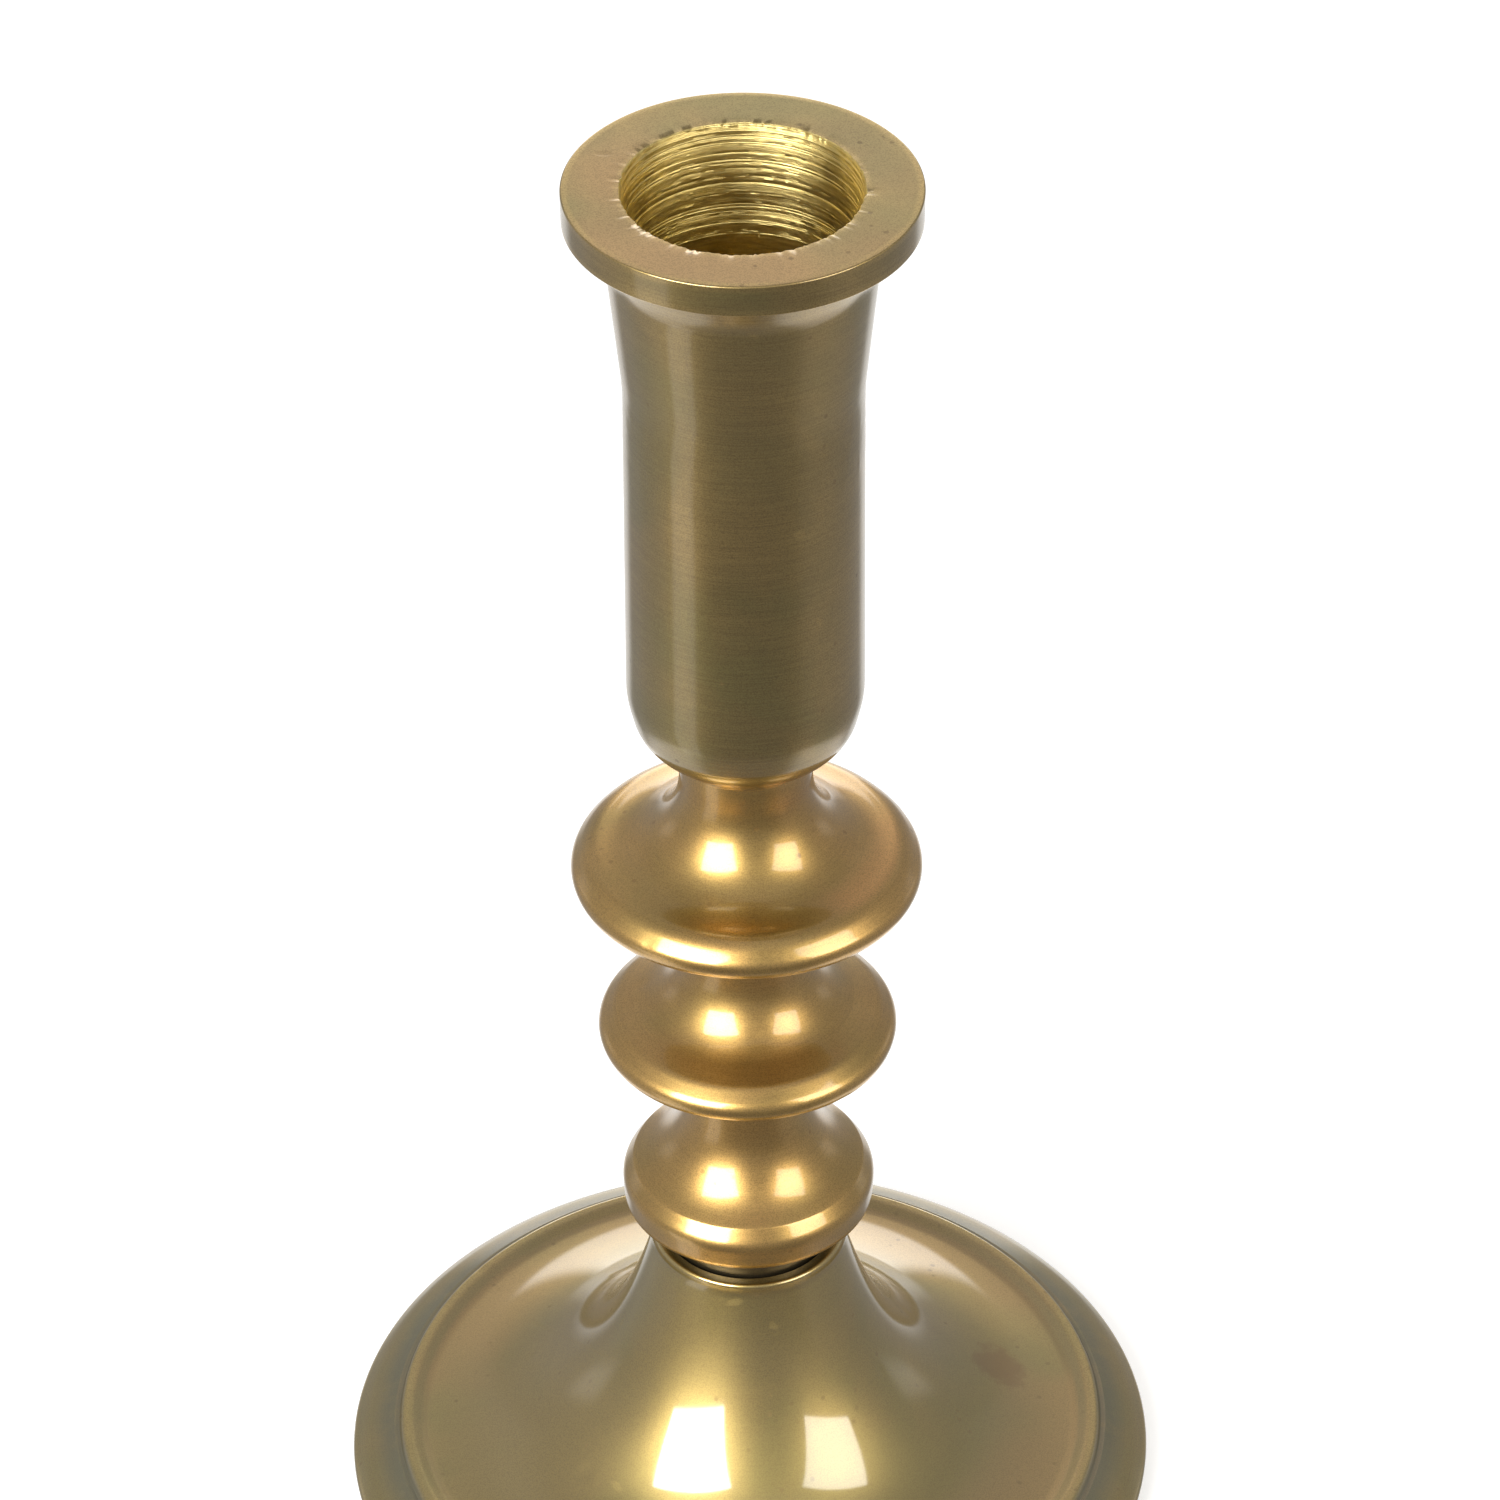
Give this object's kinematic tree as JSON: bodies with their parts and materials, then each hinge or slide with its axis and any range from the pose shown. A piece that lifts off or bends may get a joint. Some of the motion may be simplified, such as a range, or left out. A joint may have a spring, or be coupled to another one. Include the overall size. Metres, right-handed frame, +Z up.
{
  "type": "altar candlestick",
  "caption": "Antiqued brass altar candlestick: drip flange and tapered candle socket on turned knops above a hollow trumpet foot with ridged rim, drawn together by a tie rod.",
  "frame": {"origin": "centre of the felt ring's flat underside, on the surface that the candlestick stands on", "axes": "+Z up along the stem, towards the candle; X and Y are free because the object is round"},
  "size_m": [0.0846, 0.0846, 0.1587],
  "materials": {
    "socket_brass": "antiqued satin, fine turning marks, raw bright bore",
    "stem_brass": "antiqued, hand polished on the edges",
    "foot_brass": "antiqued and lacquered glossy, grey-green patina in the groove",
    "steel": "zinc plated",
    "felt": "dark green wool felt"
  },
  "bodies": {
    "root": {"candle_socket": "socket_brass", "upper_knop": "stem_brass", "middle_knop": "stem_brass", "ball_knop": "stem_brass", "base_foot": "foot_brass", "tie_rod": "steel", "plain_washer": "steel", "spring_washer": "steel", "hex_nut": "steel", "felt_ring": "felt"}
  },
  "joints": []
}
